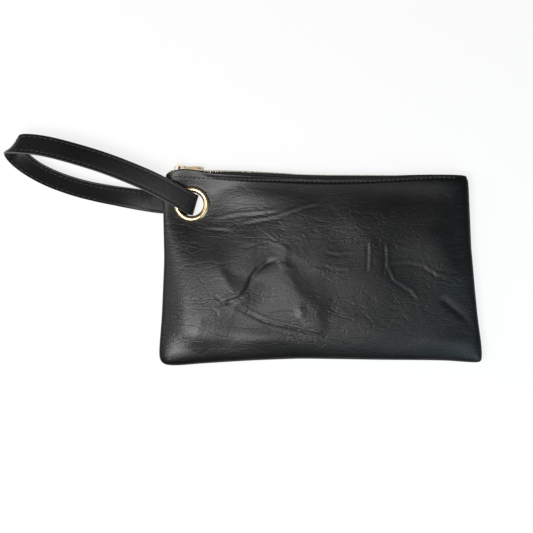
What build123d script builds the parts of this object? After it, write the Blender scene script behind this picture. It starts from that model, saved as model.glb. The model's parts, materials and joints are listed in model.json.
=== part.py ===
"""Zip-top makeup bag with a wrist strap, lying on its back.

Two leather panels are seamed along the sides and the bottom and turned, so
that the seam allowances lie inside. A loose lining hangs from the zip. The
panels are pinched together at one corner by a large eyelet, and a stitched
leather wrist loop runs through it.

+X runs along the zip towards its closed-off end, +Y points out of the mouth
and +Z out of the front panel. The origin is on the resting face of the back
panel, under the middle of the bag. Lengths are in millimetres.
"""
import math
import os

from build123d import *

os.makedirs("parts", exist_ok=True)

# --- Driving dimensions -----------------------------------------------------

# Bag body
mouth_width = 284.0
bottom_width = 299.0
bag_height = 174.0
bottom_corner_radius = 13.0
mouth_corner_radius = 12.0
cavity_corner_radius = 1.0
seam_height = 12.0        # the side seam above the resting face
belly_rise = 11.0         # crown of the front panel above the side seam
front_roll = 48.0         # how far in from the edge the front keeps rising
back_roll = 16.0          # the same on the back, which then lies flat
roll_fullness = 2.4
roll_sharpness = 3.0
leather_steps = (0.0, 0.02, 0.1, 0.27, 0.58, 1.0)   # flats from the edge in to the crown
lining_steps = (0.0, 0.1, 0.4, 1.0)
corner_facets = 4         # flats round each corner of the bag

# Sheet goods
leather = 1.2
lining = 0.4
lining_slack = 0.4        # the lining is cut that much inside the allowances
seam_allowance = 5.0
reinforcement = 0.8
tape = 0.5

# Mouth
mouth_half_depth = 8.0    # outer face of each hem from the seam plane
hem_depth = 12.0
hem_slope_length = 35.0
hem_stitch_inset = 6.0
lining_below_edge = 3.0

# Eyelet
eyelet_from_side = 25.0   # from the side edge at the eyelet's own height
eyelet_from_mouth = 28.0
eyelet_rim = 5.4
eyelet_bulge = 2.1
rim_edge = 0.7            # height of the rims where they meet the bore
lip_width = 1.4           # the lip rolled over the washer
washer_neck = 0.85        # thickness of the washer under that lip
washer_bulge = 1.9
washer_crest_shift = 1.4  # the washer's crest lies outside the middle of its rim
eyelet_wall = 0.6
eyelet_seat_margin = 2.0
pinch_slope = 32.0        # degrees, from the eyelet's seat up to the belly
pinch_sides = 18          # flats round the dish that the eyelet presses in
reinforcement_margin = 1.5
punch_fit = 0.1           # round the eyelet's barrel

# Zip chain
tooth_pitch = 2.5
tooth_thickness = 1.15
tooth_reach = 0.9         # how far a tooth passes the middle of the chain
tooth_taper = 0.35        # each face of a tooth leans in towards its head
chain_half_width = 3.0
chain_thickness = 2.4
chain_above_hem = 0.9     # middle of the chain above the hem's edge
stop_length = 1.9
bottom_stop_length = 3.5
chain_end_margin = 16.0   # from the end of the mouth to the last tooth
tape_end_margin = 9.0     # from the end of the mouth to the end of each tape

# Slider and pull
slider_length = 15.0
slider_plate = 1.1
slider_wall = 0.9
slider_from_side = 4.5
slider_fit = 0.2
slider_side_fit = 0.3     # between the slider and each bent tape
crown_width = 2.0
crown_thickness = 0.9
crown_height = 5.3
crown_half_length = 4.6
pivot_height = 2.4        # the pull turns that far above the top plate
pull_length = 23.0
pull_width = 7.0
pull_thickness = 1.2
pull_roll = 36.0          # the loose pull leans over on its edge
pull_bar = 1.3
pull_side_bar = 0.9
pull_hole_radius = 1.4

# Wrist strap
strap_width = 20.0
strap_layer = 1.18
strap_glue_line = 0.06
strap_fit = 1.0           # between the strap's edge and the eyelet's bore
strap_clearance = 2.0     # between the strap's face and the eyelet's rims
strap_stitch_inset = 2.0
strap_end_gap = 1.0
strap_end_drop = 1.6      # the joined ends lie lower than where the strap leaves the bore
thread_lift = 0.10        # the thread above the leather
strap_facet = 11.0        # degrees that the strap turns or twists between facets

# Stitches
stitch_pitch = 4.3
stitch_length = 3.0
stitch_width = 0.7
stitch_proud = 0.35
seam_thread_inset = 3.0

# --- Values that follow -----------------------------------------------------

half_height = bag_height / 2
side_slope = (bottom_width - mouth_width) / 2 / bag_height
pinch_half = leather + reinforcement + lining
hem_bottom = half_height - hem_depth
overrun = 6.0             # cavities run past the mouth by this much

bore_radius = strap_width / 2 + strap_fit
barrel_radius = bore_radius + eyelet_wall
rim_radius = barrel_radius + eyelet_rim
seat_radius = rim_radius + eyelet_seat_margin
eyelet_y = half_height - eyelet_from_mouth
eyelet_x = -(mouth_width / 2 + side_slope * eyelet_from_mouth - eyelet_from_side)

tape_outer = mouth_half_depth - 2 * leather
tape_inner = tape_outer - tape
chain_y = half_height + chain_above_hem
slider_half_width = tape_inner - slider_side_fit
slider_x = -mouth_width / 2 + slider_from_side
plate_gap = chain_thickness + 2 * slider_fit
plate_top = chain_y + plate_gap / 2 + slider_plate
chain_start = slider_x + 0.45 * slider_length
chain_end = mouth_width / 2 - chain_end_margin
teeth_per_row = int((chain_end - chain_start) / tooth_pitch)

strap_thickness = 2 * strap_layer + strap_glue_line


def save(name, shape):
    """Write one sub-part to its own STEP file."""
    solids = shape.solids()
    keep = solids[0] if len(solids) == 1 else Compound(children=list(solids))
    keep.label = name
    export_step(keep, f"parts/{name}.step")


# --- Body of the bag --------------------------------------------------------

def rounded_corner(before, corner, after, radius):
    """Points of a corner rounded with flats, on an arc that touches both sides."""
    here = Vector(*corner)
    back_way = (Vector(*before) - here).normalized()
    on_way = (Vector(*after) - here).normalized()
    half_angle = math.radians(back_way.get_angle(on_way)) / 2
    middle = here + (back_way + on_way).normalized() * (radius / math.sin(half_angle))
    start = here + back_way * (radius / math.tan(half_angle)) - middle
    sweep = 180 - 2 * math.degrees(half_angle)
    turns = [sweep * k / corner_facets for k in range(corner_facets + 1)]
    spots = [middle + start.rotate(Axis.Z, turn) for turn in turns]
    return [(spot.X, spot.Y) for spot in spots]


def outline_points(inset, mouth_y, mouth_radius):
    """Points round a trapezoid with rounded corners, its mouth edge left in place."""
    bottom_y = -half_height + inset
    top_half = mouth_width / 2 - inset - side_slope * (mouth_y - half_height)
    bottom_half = bottom_width / 2 - inset - side_slope * inset
    corners = [(-bottom_half, bottom_y), (bottom_half, bottom_y), (top_half, mouth_y), (-top_half, mouth_y)]
    low_radius = bottom_corner_radius + 0.5 * inset
    radii = [low_radius, low_radius, mouth_radius, mouth_radius]
    points = []
    for i, corner in enumerate(corners):
        points += rounded_corner(corners[i - 1], corner, corners[(i + 1) % 4], radii[i])
    return points


def outline(inset, rise, mouth_y, mouth_radius):
    """The trapezoid as a face at one height."""
    return Pos(0, 0, rise) * Polygon(*outline_points(inset, mouth_y, mouth_radius), align=None)


def faceted(rings):
    """A closed solid through rings of points, with flats between them and flat ends."""
    faces = [make_face(Polyline(*ring, close=True)).face() for ring in (rings[0], rings[-1])]
    for ring, following in zip(rings, rings[1:]):
        for k in range(len(ring)):
            quad = (ring[k - 1], ring[k], following[k], following[k - 1])
            faces.append(make_face(Polyline(*quad, close=True)).face())
    return Solid(Shell(faces))


def pillow(rise, roll, side, drop, mouth_y, mouth_radius, steps):
    """Half of a filled pouch, seam plane at Z = 0, its surface laid over insets."""
    rings = []
    for share in steps:
        lift = (1 - (1 - share) ** roll_fullness) ** (1 / roll_sharpness)
        inset = side + (roll - side) * share
        height = (rise - drop) * lift
        rings.append([(x, y, height) for x, y in outline_points(inset, mouth_y, mouth_radius)])
    return faceted(rings)


def mouth_cutter(rise, drop):
    """What flattens the pouch along its mouth into a straight hem."""
    flat = mouth_half_depth - drop
    top = rise + 20
    profile = Polyline(
        (hem_bottom, flat), (hem_bottom - hem_slope_length, rise - drop),
        (hem_bottom - hem_slope_length, top), (half_height + 2 * overrun, top),
        (half_height + 2 * overrun, flat), close=True)
    face = Plane.YZ * make_face(profile)
    return extrude(face, bottom_width, both=True)


def pinch_cutter(flat, rise):
    """The dish round the eyelet, where the two panels are pressed together."""
    top = rise + 20
    wide = seat_radius + (top - flat) / math.tan(math.radians(pinch_slope))
    rings = []
    for radius, height in ((seat_radius, flat), (wide, top)):
        turns = [2 * math.pi * k / pinch_sides for k in range(pinch_sides)]
        rings.append([(radius * math.cos(turn), radius * math.sin(turn), height) for turn in turns])
    return Pos(eyelet_x, eyelet_y, 0) * faceted(rings)


def formed(rise, roll, side, drop, flat, mouth_y, mouth_radius, steps=leather_steps):
    """A filled half pouch with its hem and its pinched corner."""
    body = pillow(rise, roll, side, drop, mouth_y, mouth_radius, steps)
    return body - mouth_cutter(rise, drop) - pinch_cutter(flat, rise)


def band(low_y, high_y):
    """A block that keeps only what lies between two heights."""
    size = high_y - low_y
    return Pos(0, (low_y + high_y) / 2, 0) * Box(2 * bottom_width, size, 8 * belly_rise)


def eyelet_bore():
    """Hole punched for the eyelet's barrel, hidden under its rims."""
    hole = RegularPolygon(barrel_radius + punch_fit, pinch_sides, major_radius=False)
    return Pos(eyelet_x, eyelet_y, 0) * extrude(hole, 4 * belly_rise, both=True)


def allowance():
    """Turned seam allowance, on the seam plane inside the bag."""
    outer = outline(leather - 0.1, 0, half_height, cavity_corner_radius)
    inner = outline(leather + seam_allowance, 0, half_height + overrun, cavity_corner_radius)
    ring = extrude(outer, leather) - extrude(inner, leather)
    return ring & band(-half_height, hem_bottom)


def hollow(rise, roll, layers):
    """The room inside a panel, under one layer of leather or under the folded hem."""
    depth = layers * leather
    return formed(rise, roll, depth, depth, pinch_half - leather, half_height + overrun, cavity_corner_radius)


def panel(rise, roll):
    """One leather panel: outer sheet, hem turned in at the mouth, allowance."""
    sheet = formed(rise, roll, 0, 0, pinch_half, half_height, mouth_corner_radius)
    sheet -= hollow(rise, roll, 1) & band(-half_height, hem_bottom)
    sheet -= hollow(rise, roll, 2) & band(hem_bottom, half_height + 2 * overrun)
    return sheet + allowance() - eyelet_bore()


def lining_sheet(rise, roll):
    """One side of the loose lining, from the zip tape down to the allowance."""
    side = leather + seam_allowance + lining_slack
    drop = 2 * leather + tape
    top = half_height + overrun
    outer = formed(rise, roll, side, drop, lining, top, cavity_corner_radius, lining_steps)
    inner = formed(rise, roll, side + lining, drop + lining, 0.0, top, cavity_corner_radius, lining_steps)
    sheet = (outer - inner) & band(-half_height, half_height - lining_below_edge)
    return sheet - eyelet_bore()


def front(shape):
    """Put a half built on the seam plane into its place at the front."""
    return Pos(0, 0, seam_height) * shape


def back(shape):
    """The same for the back half."""
    return Pos(0, 0, seam_height) * mirror(shape, Plane.XY)


save("front_panel", front(panel(belly_rise, front_roll)))
save("back_panel", back(panel(seam_height, back_roll)))
save("front_lining", front(lining_sheet(belly_rise, front_roll)))
save("back_lining", back(lining_sheet(seam_height, back_roll)))


def hem_stitches():
    """A straight row of stitches on the outer face of a hem."""
    run = mouth_width - 2 * mouth_corner_radius - 4
    count = int(run / stitch_pitch)
    spots = GridLocations(stitch_pitch, 0, count, 1)
    half = stitch_width / 2
    section = Plane.YZ * Polygon((-half, 0), (half, 0), (0, stitch_proud), align=None)
    stitch = extrude(section, stitch_length / 2, both=True)
    row = Pos(0, half_height - hem_stitch_inset, mouth_half_depth)
    return [row * spot * stitch for spot in spots.locations]


def joined(shapes):
    """Separate copies of one piece, kept as separate solids."""
    return Compound(children=[solid for shape in shapes for solid in shape.solids()])


save("front_hem_stitching", front(joined(hem_stitches())))
save("back_hem_stitching", back(joined(hem_stitches())))


def seam_thread():
    """The thread of the closing seam, on the two faces of the allowances."""
    outer = outline(seam_thread_inset, leather, half_height, cavity_corner_radius)
    inner = outline(seam_thread_inset + stitch_width, leather, half_height + overrun, cavity_corner_radius)
    ring = extrude(outer, stitch_proud) - extrude(inner, stitch_proud)
    return ring & band(-half_height, hem_bottom)


save("seam_thread", joined([front(seam_thread()), back(seam_thread())]))

# --- Eyelet -----------------------------------------------------------------

at_eyelet = Pos(eyelet_x, eyelet_y, seam_height)
rim_middle = (bore_radius + rim_radius) / 2
lip_seat = -(pinch_half + washer_neck)


def flats(start, middle, end, count):
    """Points of a round moulding laid out with straight flats."""
    arc = ThreePointArc(start, middle, end)
    spots = [arc.position_at(k / count) for k in range(count + 1)]
    return [(spot.X, spot.Y) for spot in spots]


def ring_of(points):
    """A turned ring from its half section, given as distance from the axis and height."""
    return revolve(Plane.XZ * make_face(Polyline(*points, close=True)), Axis.Z)


def eyelet():
    """Front rim, barrel and the lip that is rolled over the washer."""
    crest = pinch_half + eyelet_bulge
    lip_low = -crest
    lip_radius = barrel_radius + lip_width
    points = flats((bore_radius, pinch_half + rim_edge), (rim_middle, crest), (rim_radius, pinch_half), 3)
    points += [(barrel_radius, pinch_half), (barrel_radius, lip_seat), (lip_radius, lip_seat)]
    points += [(barrel_radius, lip_low), (bore_radius, lip_low + rim_edge)]
    return ring_of(points)


def washer():
    """Back ring, seated on the back panel and gripped by the eyelet's lip."""
    inside = barrel_radius
    shoulder = inside + lip_width
    crest = (rim_middle + washer_crest_shift, -(pinch_half + washer_bulge))
    points = [(inside, lip_seat), (inside, -pinch_half)]
    points += flats((rim_radius, -pinch_half), crest, (shoulder, lip_seat), 2)
    return ring_of(points)


def reinforcement_ring(low):
    """Stiff ring between leather and lining under one rim."""
    hole = RegularPolygon(barrel_radius + punch_fit, pinch_sides, major_radius=False)
    disc = extrude(RegularPolygon(rim_radius + reinforcement_margin, pinch_sides) - hole, reinforcement / 2, both=True)
    return Pos(0, 0, low + reinforcement / 2) * disc


save("eyelet", at_eyelet * eyelet())
save("eyelet_washer", at_eyelet * washer())
save("front_eyelet_reinforcement", at_eyelet * reinforcement_ring(lining))
save("back_eyelet_reinforcement", at_eyelet * reinforcement_ring(-lining - reinforcement))

# --- Zip --------------------------------------------------------------------

hinge_z = (tape_outer + tape_inner) / 2
tape_run = mouth_width - 2 * tape_end_margin


def sewn_tape(rise, roll):
    """The part of a tape that is sewn under the hem, trimmed where the eyelet pinches it."""
    middle_y = (hem_bottom + chain_y) / 2
    strip = Pos(0, middle_y, hinge_z) * Box(tape_run, chain_y - hem_bottom, tape)
    return strip & hollow(rise, roll, 2)


def tape_lip():
    """The free edge of a tape, which bends over at the hem and carries the teeth."""
    left = slider_x - stop_length - 0.5
    right = tape_run / 2
    depth = tape_inner - chain_half_width
    middle = ((left + right) / 2, chain_y, chain_half_width + depth / 2)
    return Pos(*middle) * Box(right - left, tape, depth)


def tooth(middle_x):
    """One tooth of the front row, its head a little past the middle of the chain."""
    half = chain_thickness / 2
    profile = Polyline(
        (-half, chain_half_width), (-half + tooth_taper, -tooth_reach),
        (half - tooth_taper, -tooth_reach), (half, chain_half_width), close=True)
    face = Plane.YZ * make_face(profile)
    return Pos(middle_x, chain_y, 0) * extrude(face, tooth_thickness / 2, both=True)


def tooth_row(shift):
    """A row of teeth, one pitch apart."""
    return joined([tooth(chain_start + shift + i * tooth_pitch) for i in range(teeth_per_row)])


def top_stop():
    """Clip on the tape's edge that stops the slider when the bag is shut."""
    left = slider_x - 0.3 - stop_length
    size = (stop_length, chain_thickness, 2.0)
    clip = Pos(left + stop_length / 2, chain_y, chain_half_width - 0.2) * Box(*size)
    return chamfer(clip.edges().filter_by(Axis.X), 0.5) - tape_lip()


def bottom_stop():
    """Clip across both rows at the far end of the chain."""
    left = chain_start + teeth_per_row * tooth_pitch + 0.3
    clip = Box(bottom_stop_length, chain_thickness, 2 * chain_half_width)
    clip = chamfer(clip.edges().filter_by(Axis.X), 0.6)
    return Pos(left + bottom_stop_length / 2, chain_y, seam_height) * clip


save("front_zip_tape", front(sewn_tape(belly_rise, front_roll)))
save("back_zip_tape", back(sewn_tape(seam_height, back_roll)))
save("front_tape_lip", front(tape_lip()))
save("back_tape_lip", back(tape_lip()))
save("front_zip_teeth", front(tooth_row(0.0)))
save("back_zip_teeth", back(tooth_row(tooth_pitch / 2)))
save("front_top_stop", front(top_stop()))
save("back_top_stop", back(top_stop()))
save("zip_bottom_stop", bottom_stop())

# --- Slider and pull --------------------------------------------------------

crown_x = slider_x + slider_length / 2
pivot_y = plate_top + pivot_height


def slider_outline(inset):
    """Plan of the slider: shoulders at the open end, narrower where the chain is shut."""
    half = slider_half_width - inset
    rear = chain_half_width + slider_fit + slider_wall - inset
    long = slider_length
    points = [
        (inset, half - 1.3), (inset + 1.3, half), (0.42 * long, half), (0.62 * long, rear),
        (long - 0.7 - inset, rear), (long - inset, rear - 0.7)]
    points += [(x, -z) for x, z in reversed(points)]
    return Plane.XZ * Polygon(*points, align=None)


def slider_body():
    """Two plates joined by the divider, with flanges that guide the rows."""
    plate = Pos(0, slider_plate / 2, 0) * extrude(slider_outline(0), slider_plate / 2, both=True)
    upper = Pos(0, plate_gap / 2, 0) * plate
    lower = Pos(0, -plate_gap / 2 - slider_plate, 0) * plate
    wall = extrude(slider_outline(0), plate_gap / 2, both=True) - extrude(
        slider_outline(slider_wall), plate_gap, both=True)
    channel = chain_half_width + slider_fit
    wall -= Box(4 * slider_length, plate_gap, 2 * channel)
    wall -= Box(4 * slider_length, 2 * tape, 4 * slider_half_width)
    divider = Plane.XZ * Polygon((0.8, 0), (2.6, 1.3), (5.4, 0), (2.6, -1.3), align=None)
    return upper + lower + wall + extrude(divider, plate_gap / 2, both=True)


def crown():
    """Arch over the top plate that the pull hangs on."""
    outer = crown_half_length
    inner = crown_half_length - crown_thickness
    spring_y = pivot_y - plate_top
    rise = crown_height - spring_y

    def arch(half, height):
        ends = ((-half, 0), (-half, spring_y), (half, spring_y), (half, 0))
        legs = [Line(ends[0], ends[1]), Line(ends[2], ends[3]), Line(ends[3], ends[0])]
        top = EllipticalCenterArc((0, spring_y), half, height, arc_size=180)
        return make_face([legs[0], top, legs[1], legs[2]])

    face = arch(outer, rise) - arch(inner, rise - crown_thickness)
    return Pos(crown_x, plate_top, seam_height) * extrude(face, crown_width / 2, both=True)


def pull():
    """Flat pull with an eye for the crown and a round hole near its end."""
    neck = pull_eye_half + pull_side_bar
    eye_end = crown_half_length + 0.5
    wide = pull_width / 2
    outline_points = [
        (-0.9, neck - 0.7), (-0.2, neck), (eye_end + 0.8, neck), (eye_end + 2.8, neck - 0.8),
        (pull_length - 7.5, wide), (pull_length - 2.0, wide), (pull_length, wide - 2.0)]
    outline_points += [(x, -z) for x, z in reversed(outline_points)]
    blade = Polygon(*outline_points, align=None)
    eye = Pos((pull_bar + eye_end) / 2, 0) * Rectangle(eye_end - pull_bar, 2 * pull_eye_half)
    hole = Pos(pull_length - 4.0, 0) * Circle(pull_hole_radius)
    flat = extrude(blade - eye - hole, pull_thickness / 2, both=True)
    upright = Rot(90, 0, 0) * flat
    return Pos(crown_x, pivot_y, seam_height) * Rot(0, 0, -pull_droop) * Rot(pull_roll, 0, 0) * upright


roll = math.radians(pull_roll)
pull_eye_half = crown_width / 2 / math.cos(roll) + pull_thickness / 2 * math.tan(roll) + 0.3
pull_drop = pull_width / 2 * math.sin(roll) + pull_thickness / 2 * math.cos(roll)
pull_rest_y = chain_y + chain_thickness / 2 + 0.15 + pull_drop
pull_droop = math.degrees(math.asin((pivot_y - pull_rest_y) / (pull_length - 5.0)))

save("slider_body", Pos(slider_x, chain_y, seam_height) * slider_body())
save("slider_crown", crown())
save("pull_tab", pull())

# --- Wrist strap ------------------------------------------------------------

# Stations along the loop as (X, Y from the eyelet, Z, lean, heading): lean turns
# the strap about its own run, heading is where its width points in plan, both in
# degrees. The strap leaves the bore in front, turns at the far end and comes back.
front_strand = [
    (-24, 13.5, 23.3, 0, 242), (-38, 20.5, 24.7, 0, 244), (-53, 27, 26.2, 0, 245),
    (-82, 38, 29.2, 0, 246), (-110, 46.5, 31.2, 0, 246), (-134, 52.5, 31.2, 0, 244), (-152, 55.2, 29, 0, 240)]
far_turn = [
    (-162.5, 55.6, 25, 0, 238), (-166.8, 54.3, 19, 4, 236), (-164.5, 50, 13.5, 14, 236),
    (-157, 42, 10.6, 26, 238)]
rear_strand = [
    (-146, 32, 9.8, 32, 240), (-122.5, 20.5, 9.2, 35, 244), (-93, 11.5, 8.6, 34, 250),
    (-70, 7, 7.2, 26, 256), (-51, 4, 4.2, 12, 262), (-38, 2.4, 2.1, 1, 266), (-28, 1.5, 1.72, 0, 267),
    (-20.5, 1.1, 1.85, 0, 267)]

front_heading = 150.0
rear_heading = 177.0
strap_above = pinch_half + eyelet_bulge + strap_clearance + strap_thickness / 2
turn_offset = 5.0


def round_the_bore(turn):
    """A station of the U-turn through the eyelet, turn from -90 behind to 90 in front."""
    share = (turn + 90) / 180
    heading = rear_heading + (front_heading - rear_heading) * share
    reach = turn_offset - strap_above * math.cos(math.radians(turn))
    x = reach * math.cos(math.radians(heading))
    y = reach * math.sin(math.radians(heading))
    return (x, y, seam_height + strap_above * math.sin(math.radians(turn)), 0, heading + 90)


strap_end_z = seam_height - strap_above - strap_end_drop
strap_start = [(-14, 0.75, strap_end_z, 0, 267)]
strap_finish = [(-14 - strap_end_gap, 0.77, strap_end_z, 0, 267)]
through = [round_the_bore(turn) for turn in (-90, -45, 0, 45, 90)]
stations = strap_start + through + front_strand + far_turn + rear_strand + strap_finish


def strap_plane(path, mark, lean, heading):
    """Section plane at one mark along the strap: X across it, Y out of the loop."""
    run = path.tangent_at(mark)
    level = Vector(math.cos(math.radians(heading)), math.sin(math.radians(heading)), 0)
    across = (level - run * level.dot(run)).normalized()
    across = across.rotate(Axis((0, 0, 0), run), lean)
    return Plane(origin=path.position_at(mark), x_dir=across, z_dir=run)


def strap_frames():
    """Section planes along a smooth line through the stations, closer where it turns."""
    points = [Vector(eyelet_x + x, eyelet_y + y, z) for x, y, z, lean, heading in stations]
    path = Spline(*points)
    marks = [path.param_at_point(point) for point in points]
    planes = [strap_plane(path, marks[0], *stations[0][3:])]
    for i in range(len(stations) - 1):
        lean, heading = stations[i][3:]
        next_lean, next_heading = stations[i + 1][3:]
        bend = path.tangent_at(marks[i]).get_angle(path.tangent_at(marks[i + 1]))
        twist = abs(next_lean - lean) + abs(next_heading - heading)
        parts = max(1, math.ceil((bend + twist) / strap_facet))
        for k in range(1, parts + 1):
            share = k / parts
            mark = marks[i] + (marks[i + 1] - marks[i]) * share
            here = (lean + (next_lean - lean) * share, heading + (next_heading - heading) * share)
            planes.append(strap_plane(path, mark, *here))
    return planes


def strap_strip(section):
    """A strip that follows the strap; its section is given across the strap and out of the loop."""
    sides = len(section)
    rings = []
    for plane in strap_planes:
        ring = [plane.from_local_coords((across, out, 0)) for across, out in section]
        rings.append(ring + ring[:1])
    faces = [make_face(Polyline(*ring)).face() for ring in (rings[0], rings[-1])]
    for ring, following in zip(rings, rings[1:]):
        for k in range(sides):
            near = (ring[k], ring[k + 1], following[k])
            far = (ring[k + 1], following[k + 1], following[k])
            faces += [make_face(Polyline(*corner, close=True)).face() for corner in (near, far)]
    return Solid(Shell(faces))


def layer_section(side):
    """Section of one leather layer, its outer face divided where the stitches run."""
    half = strap_width / 2
    glued = side * strap_glue_line / 2
    face = side * strap_thickness / 2
    return [(-half, glued), (half, glued), (half, face), (thread_across, face), (-thread_across, face), (-half, face)]


def thread_section(across, side):
    """Section of one line of thread on one face."""
    low = side * (strap_thickness / 2 + thread_lift)
    half = stitch_width / 2
    return [(across - half, low), (across + half, low), (across, low + side * stitch_proud)]


thread_across = strap_width / 2 - strap_stitch_inset
strap_planes = strap_frames()
save("strap_outer_leather", strap_strip(layer_section(1)))
save("strap_inner_leather", strap_strip(layer_section(-1)))
save("strap_stitching", joined([
    strap_strip(thread_section(across, side))
    for across in (-thread_across, thread_across) for side in (-1, 1)]))
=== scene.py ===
"""Looks of the zip-top makeup bag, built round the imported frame. Metres throughout."""
import json
import math

import bmesh
import bpy
import numpy as np
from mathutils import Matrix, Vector


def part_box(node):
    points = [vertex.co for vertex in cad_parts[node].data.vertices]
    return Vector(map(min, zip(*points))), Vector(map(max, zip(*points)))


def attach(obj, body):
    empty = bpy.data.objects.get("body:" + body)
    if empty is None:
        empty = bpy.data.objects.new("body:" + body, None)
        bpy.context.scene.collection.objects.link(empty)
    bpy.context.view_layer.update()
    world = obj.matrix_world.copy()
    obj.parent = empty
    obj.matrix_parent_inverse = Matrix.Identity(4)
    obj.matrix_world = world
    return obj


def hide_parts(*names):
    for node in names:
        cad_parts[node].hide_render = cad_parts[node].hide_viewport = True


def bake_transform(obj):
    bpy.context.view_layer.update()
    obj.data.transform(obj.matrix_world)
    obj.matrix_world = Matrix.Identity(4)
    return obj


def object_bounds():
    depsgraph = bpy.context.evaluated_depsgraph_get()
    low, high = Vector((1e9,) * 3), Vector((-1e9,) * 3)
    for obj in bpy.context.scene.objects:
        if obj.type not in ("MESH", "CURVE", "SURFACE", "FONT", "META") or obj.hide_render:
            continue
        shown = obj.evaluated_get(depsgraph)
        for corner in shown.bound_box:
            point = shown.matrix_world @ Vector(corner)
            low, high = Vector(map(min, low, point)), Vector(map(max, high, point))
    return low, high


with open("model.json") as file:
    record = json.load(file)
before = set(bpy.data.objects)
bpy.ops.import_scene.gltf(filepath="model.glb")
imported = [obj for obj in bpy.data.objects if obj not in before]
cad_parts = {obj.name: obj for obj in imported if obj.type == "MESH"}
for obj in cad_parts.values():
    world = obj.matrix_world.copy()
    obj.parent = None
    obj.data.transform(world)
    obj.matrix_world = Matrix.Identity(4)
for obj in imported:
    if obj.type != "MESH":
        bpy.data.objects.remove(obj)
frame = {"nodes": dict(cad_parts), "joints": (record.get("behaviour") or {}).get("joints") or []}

cad_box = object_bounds()
MM = 0.001

# --- Places taken from the frame, in millimetres -----------------------------

hinges = {j["name"]: j for j in frame["joints"]}
SEAM = 1000 * hinges["strap_swing"]["pos_m"][2]
EYE_X, EYE_Y = (1000 * v for v in hinges["strap_swing"]["pos_m"][:2])
CHAIN_Y = 1000 * hinges["front_lip_open"]["pos_m"][1]
FOLD = 1000 * hinges["front_lip_open"]["pos_m"][2] - SEAM
front_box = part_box("front_panel")
MOUTH_Y = 1000 * front_box[1].y
BELLY = 1000 * front_box[1].z - SEAM
HEM = 12.0               # depth of the turned hem
HEM_HALF = 8.0           # outer face of the hem from the seam plane
LEATHER = 1.2            # thickness of a panel
PINCH = 2.4              # outer face of the leather from the seam plane, under the eyelet
SEAT = 17.0              # radius of the pressed place that the eyelet sits in
BORE_CUT = 12.6          # leather and lining are open inside this radius
INSIDE = 1.4             # how far a tape lies inside the leather's outer face


# --- Small tools -------------------------------------------------------------

def smooth(a, b, x):
    """0 at a, 1 at b and an eased step between them; a may be the larger."""
    t = np.clip((x - a) / (b - a), 0, 1)
    return t * t * (3 - 2 * t)


def soft_min(a, b, k):
    """The lesser of two values, rounded over about k where they cross."""
    low = np.minimum(a, b)
    return low - k * np.log(np.exp(-(a - low) / k) + np.exp(-(b - low) / k))


def line(points):
    """A smooth function through a few (place, value) points."""
    xs, ys = np.array(points, float).T
    samples, reach = 400, 20

    def at(x):
        fine = np.linspace(xs[0], xs[-1], samples)
        values = np.interp(fine, xs, ys)
        window = np.hanning(2 * reach + 1)
        padded = np.concatenate([np.full(reach, values[0]), values, np.full(reach, values[-1])])
        return np.interp(x, fine, np.convolve(padded, window / window.sum(), "valid"))
    return at


def natural_spline(points):
    """Cubic spline through points as a function of the distance along them, and their distances."""
    points = np.array(points, float)
    gaps = np.linalg.norm(np.diff(points[:, :3], axis=0), axis=1)
    marks = np.concatenate([[0], np.cumsum(gaps)])
    n = len(points)
    a = np.eye(n)
    rhs = np.zeros_like(points)
    for i in range(1, n - 1):
        a[i, i - 1:i + 2] = gaps[i - 1], 2 * (gaps[i - 1] + gaps[i]), gaps[i]
        after = (points[i + 1] - points[i]) / gaps[i]
        rhs[i] = 6 * (after - (points[i] - points[i - 1]) / gaps[i - 1])
    bend = np.linalg.solve(a, rhs)

    def at(s):
        s = np.atleast_1d(s)
        i = np.clip(np.searchsorted(marks, s, "right") - 1, 0, n - 2)
        h = gaps[i][:, None]
        u = (s - marks[i])[:, None]
        v = h - u
        return (bend[i] * v ** 3 + bend[i + 1] * u ** 3) / (6 * h) + (
            points[i] / h - bend[i] * h / 6) * v + (points[i + 1] / h - bend[i + 1] * h / 6) * u
    return at, marks


def mesh_object(name, verts, faces, material, body, slot):
    """A piece from points in millimetres, riding on one CAD body unless it is None."""
    mesh = bpy.data.meshes.new(name)
    places = [tuple(v) for v in np.asarray(verts) * MM]
    mesh.from_pydata(places, [], [tuple(map(int, f)) for f in faces])
    mesh.validate()
    bm = bmesh.new()
    bm.from_mesh(mesh)
    bmesh.ops.recalc_face_normals(bm, faces=bm.faces)
    bm.to_mesh(mesh)
    bm.free()
    mesh.polygons.foreach_set("use_smooth", [True] * len(mesh.polygons))
    obj = bpy.data.objects.new(name, mesh)
    bpy.context.scene.collection.objects.link(obj)
    mesh.materials.append(material)
    if body:
        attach(obj, body)
    return obj


def grid_faces(rows, cols, wrap=False):
    """Quads over a grid of points, joined round its rows when wrapped."""
    faces = []
    for i in range(rows - 1):
        for j in range(cols if wrap else cols - 1):
            k = (j + 1) % cols
            faces.append((i * cols + j, i * cols + k, (i + 1) * cols + k, (i + 1) * cols + j))
    return faces


def sweep(rings):
    """Points and faces of a tube through rings of points, closed at both ends."""
    rings = np.array(rings)
    rows, cols = rings.shape[:2]
    faces = grid_faces(rows, cols, wrap=True)
    faces += [tuple(range(cols))[::-1], tuple((rows - 1) * cols + k for k in range(cols))]
    return rings.reshape(-1, 3), faces


def round_angles(count):
    """Evenly spaced angles of a full turn."""
    return np.linspace(0, 2 * np.pi, count, endpoint=False)


def gather(parts):
    """Several (points, faces) pieces as one."""
    verts, faces, start = [], [], 0
    for v, f in parts:
        verts.append(np.asarray(v))
        faces += [tuple(start + k for k in face) for face in f]
        start += len(v)
    return np.concatenate(verts), faces


# --- Materials ---------------------------------------------------------------

def new_material(name):
    """A material with its nodes, its links and its main shader."""
    material = bpy.data.materials.new(name)
    material.use_nodes = True
    tree = material.node_tree
    return material, tree.nodes, tree.links, tree.nodes["Principled BSDF"]


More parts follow.
